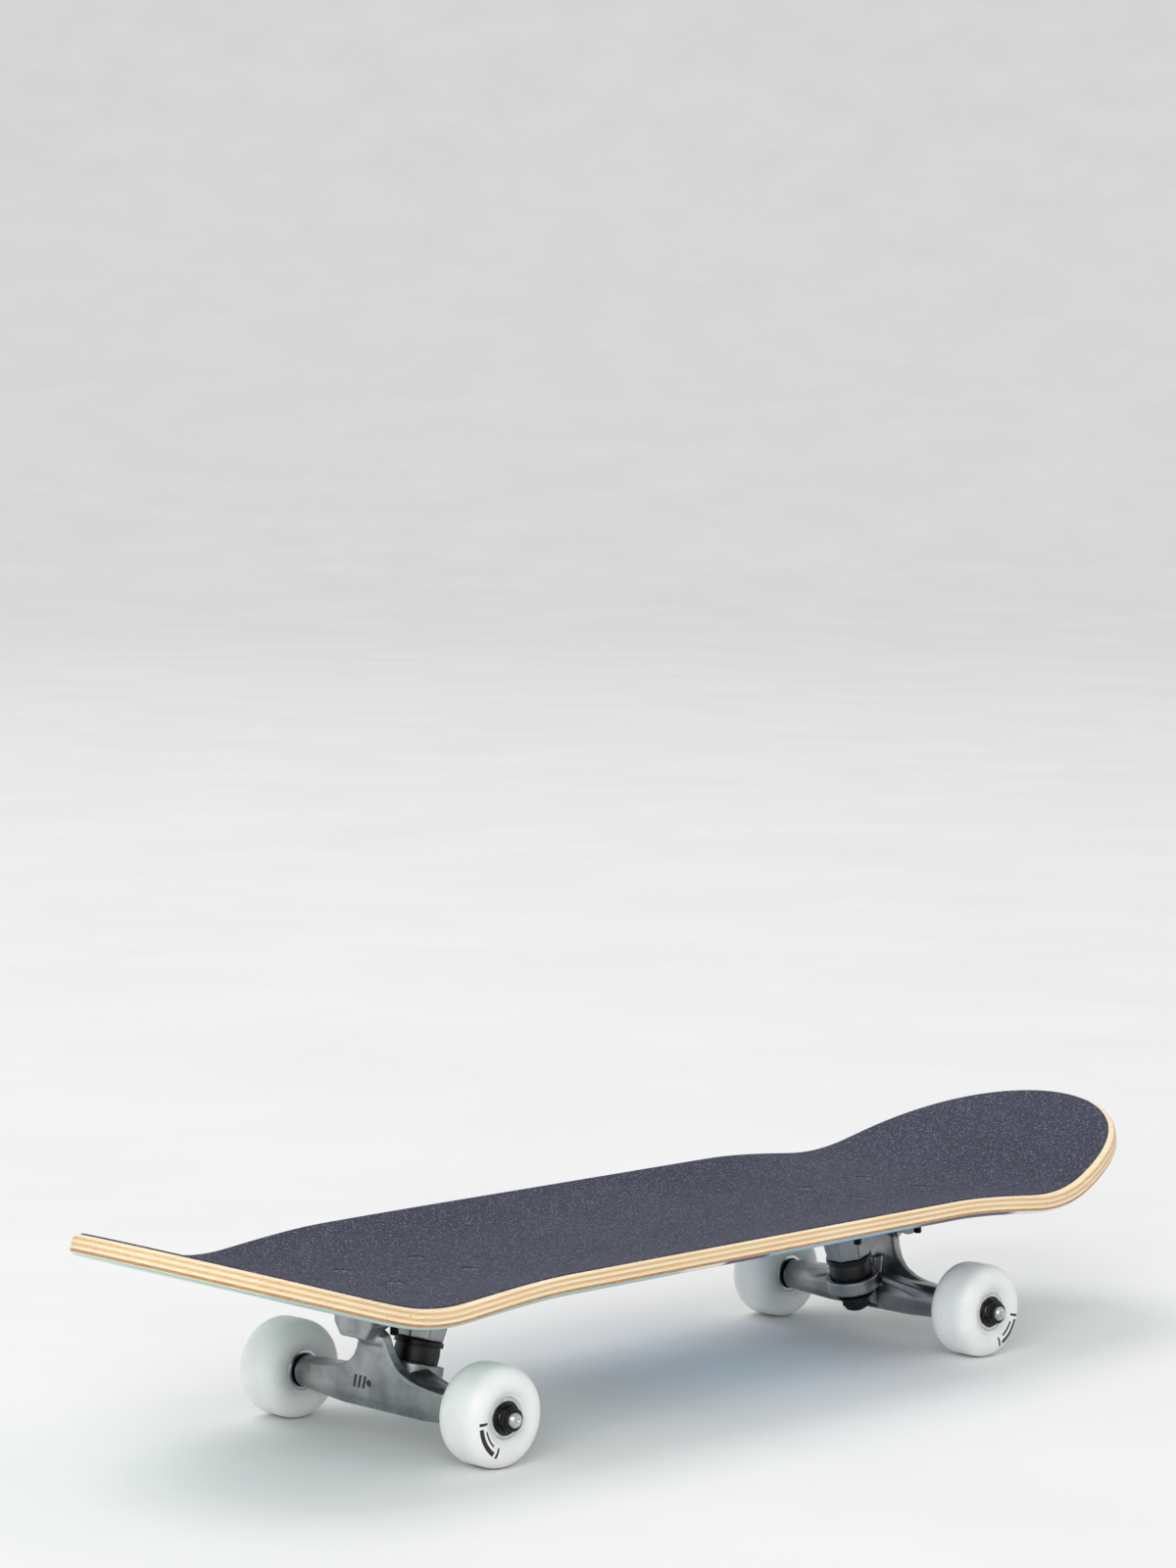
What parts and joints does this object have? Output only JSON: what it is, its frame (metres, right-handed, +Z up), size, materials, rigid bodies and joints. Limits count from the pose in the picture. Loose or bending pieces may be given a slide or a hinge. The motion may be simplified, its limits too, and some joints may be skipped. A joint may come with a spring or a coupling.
{
  "type": "skateboard",
  "caption": "Kicktail skateboard: concave maple-ply deck with grip tape, kingpin trucks that steer as it leans, and free-spinning urethane wheels on ball bearings.",
  "frame": {"origin": "on the ground, under the middle of the board's plan", "axes": "+X towards the nose, +Y to the rider's left when facing the nose, +Z up"},
  "size_m": [0.753, 0.196, 0.1281],
  "materials": {
    "grit": "dark blue-grey abrasive grip tape, fine sparkling grit",
    "maple_light": "pale maple veneer, satin lacquer",
    "maple_tan": "tan cross-banded maple veneer, satin lacquer",
    "graphic_ply": "bottom ply with a printed mint, white and navy abstract pattern under gloss lacquer",
    "cast_aluminium": "tumbled cast aluminium with polished rims",
    "black_steel": "black zinc, semi-gloss",
    "bright_steel": "bright plated steel",
    "race_steel": "ground bearing steel",
    "bushing_urethane": "black urethane, satin",
    "cup_nylon": "black nylon",
    "shield": "black bearing shield",
    "cage": "natural nylon ball cage",
    "wheel_urethane": "white cast urethane, satin"
  },
  "bodies": {
    "board": {"griptape": "grit", "deck_ply_1": "graphic_ply", "deck_ply_2": "maple_tan", "deck_ply_3": "maple_light", "deck_ply_4": "maple_tan", "deck_ply_5": "maple_light", "deck_ply_6": "maple_tan", "deck_ply_7": "maple_light", "nose_baseplate": "cast_aluminium", "nose_pivot_cup": "cup_nylon", "nose_kingpin": "black_steel", "nose_kingpin_nut": "black_steel", "nose_board_washer": "black_steel", "nose_road_washer": "black_steel", "nose_board_bushing": "bushing_urethane", "nose_road_bushing": "bushing_urethane", "nose_deck_bolts": "black_steel", "nose_deck_nuts": "black_steel", "tail_baseplate": "cast_aluminium", "tail_pivot_cup": "cup_nylon", "tail_kingpin": "black_steel", "tail_kingpin_nut": "black_steel", "tail_board_washer": "black_steel", "tail_road_washer": "black_steel", "tail_board_bushing": "bushing_urethane", "tail_road_bushing": "bushing_urethane", "tail_deck_bolts": "black_steel", "tail_deck_nuts": "black_steel"},
    "nose_truck": {"nose_hanger": "cast_aluminium", "nose_axle": "bright_steel", "nose_inner_races": "race_steel", "nose_bearing_spacers": "bright_steel", "nose_axle_washers": "bright_steel", "nose_axle_nuts": "black_steel"},
    "nose_left_roller": {"nose_left_wheel": "wheel_urethane", "nose_left_outer_races": "race_steel", "nose_left_bearing_shields": "shield"},
    "nose_left_ball_set": {"nose_left_balls": "race_steel", "nose_left_ball_cages": "cage"},
    "nose_right_roller": {"nose_right_wheel": "wheel_urethane", "nose_right_outer_races": "race_steel", "nose_right_bearing_shields": "shield"},
    "nose_right_ball_set": {"nose_right_balls": "race_steel", "nose_right_ball_cages": "cage"},
    "tail_truck": {"tail_hanger": "cast_aluminium", "tail_axle": "bright_steel", "tail_inner_races": "race_steel", "tail_bearing_spacers": "bright_steel", "tail_axle_washers": "bright_steel", "tail_axle_nuts": "black_steel"},
    "tail_left_roller": {"tail_left_wheel": "wheel_urethane", "tail_left_outer_races": "race_steel", "tail_left_bearing_shields": "shield"},
    "tail_left_ball_set": {"tail_left_balls": "race_steel", "tail_left_ball_cages": "cage"},
    "tail_right_roller": {"tail_right_wheel": "wheel_urethane", "tail_right_outer_races": "race_steel", "tail_right_bearing_shields": "shield"},
    "tail_right_ball_set": {"tail_right_balls": "race_steel", "tail_right_ball_cages": "cage"}
  },
  "joints": [
    {"name": "nose_steer", "type": "hinge", "parent": "board", "child": "nose_truck", "pos_m": [0.18163, 0, 0.03417], "axis": [0.7922, 0, 0.6102], "range_deg": [-15, 15], "stiffness_Nm_per_rad": 40, "deforming": ["nose_board_bushing", "nose_road_bushing"]},
    {"name": "nose_left_wheel_spin", "type": "hinge", "parent": "nose_truck", "child": "nose_left_roller", "pos_m": [0.20021, 0.0763, 0.0265], "axis": [0, 1, 0], "continuous": true},
    {"name": "nose_left_ball_spin", "type": "hinge", "parent": "nose_truck", "child": "nose_left_ball_set", "pos_m": [0.20021, 0.0763, 0.0265], "axis": [0, 1, 0], "continuous": true},
    {"name": "nose_right_wheel_spin", "type": "hinge", "parent": "nose_truck", "child": "nose_right_roller", "pos_m": [0.20021, -0.0763, 0.0265], "axis": [0, 1, 0], "continuous": true},
    {"name": "nose_right_ball_spin", "type": "hinge", "parent": "nose_truck", "child": "nose_right_ball_set", "pos_m": [0.20021, -0.0763, 0.0265], "axis": [0, 1, 0], "continuous": true},
    {"name": "tail_steer", "type": "hinge", "parent": "board", "child": "tail_truck", "pos_m": [-0.17161, 0, 0.03417], "axis": [-0.7922, 0, 0.6102], "range_deg": [-15, 15], "stiffness_Nm_per_rad": 40, "deforming": ["tail_board_bushing", "tail_road_bushing"]},
    {"name": "tail_left_wheel_spin", "type": "hinge", "parent": "tail_truck", "child": "tail_left_roller", "pos_m": [-0.19019, 0.0763, 0.0265], "axis": [0, 1, 0], "continuous": true},
    {"name": "tail_left_ball_spin", "type": "hinge", "parent": "tail_truck", "child": "tail_left_ball_set", "pos_m": [-0.19019, 0.0763, 0.0265], "axis": [0, 1, 0], "continuous": true},
    {"name": "tail_right_wheel_spin", "type": "hinge", "parent": "tail_truck", "child": "tail_right_roller", "pos_m": [-0.19019, -0.0763, 0.0265], "axis": [0, 1, 0], "continuous": true},
    {"name": "tail_right_ball_spin", "type": "hinge", "parent": "tail_truck", "child": "tail_right_ball_set", "pos_m": [-0.19019, -0.0763, 0.0265], "axis": [0, 1, 0], "continuous": true}
  ],
  "couplings": [
    {"joint": "nose_left_ball_spin", "follows": "nose_left_wheel_spin", "ratio": 0.6323},
    {"joint": "nose_right_ball_spin", "follows": "nose_right_wheel_spin", "ratio": 0.6323},
    {"joint": "tail_left_ball_spin", "follows": "tail_left_wheel_spin", "ratio": 0.6323},
    {"joint": "tail_right_ball_spin", "follows": "tail_right_wheel_spin", "ratio": 0.6323}
  ]
}
